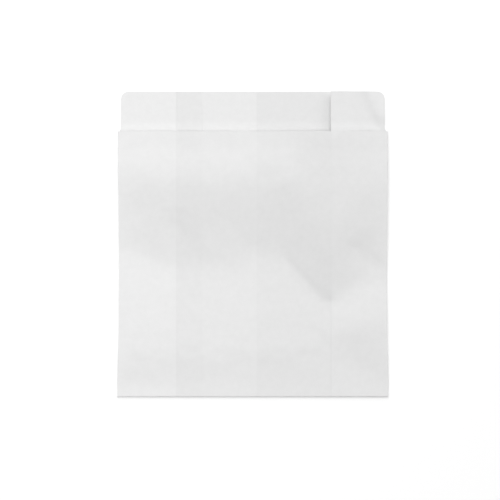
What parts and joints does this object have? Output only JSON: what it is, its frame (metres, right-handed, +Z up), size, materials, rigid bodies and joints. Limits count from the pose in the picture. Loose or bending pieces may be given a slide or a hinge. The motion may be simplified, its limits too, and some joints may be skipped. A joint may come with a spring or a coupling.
{
  "type": "paper bag",
  "caption": "Small white paper bag lying flat, with folded-in side gussets, a front cut lower than the back at the mouth, and a bottom turned over and glued.",
  "frame": {"origin": "on the table, under the centre of the flat bag's bounding box", "axes": "+X across the bag to the right seen from the front, +Y from the closed bottom towards the open mouth, +Z up out of the front panel"},
  "size_m": [0.1808, 0.203, 0.0032],
  "materials": {
    "white_paper": "thin bleached paper, smooth and faintly glossy outside, plies showing through faintly"
  },
  "bodies": {
    "root": {"paper_bag": "white_paper"}
  },
  "joints": []
}
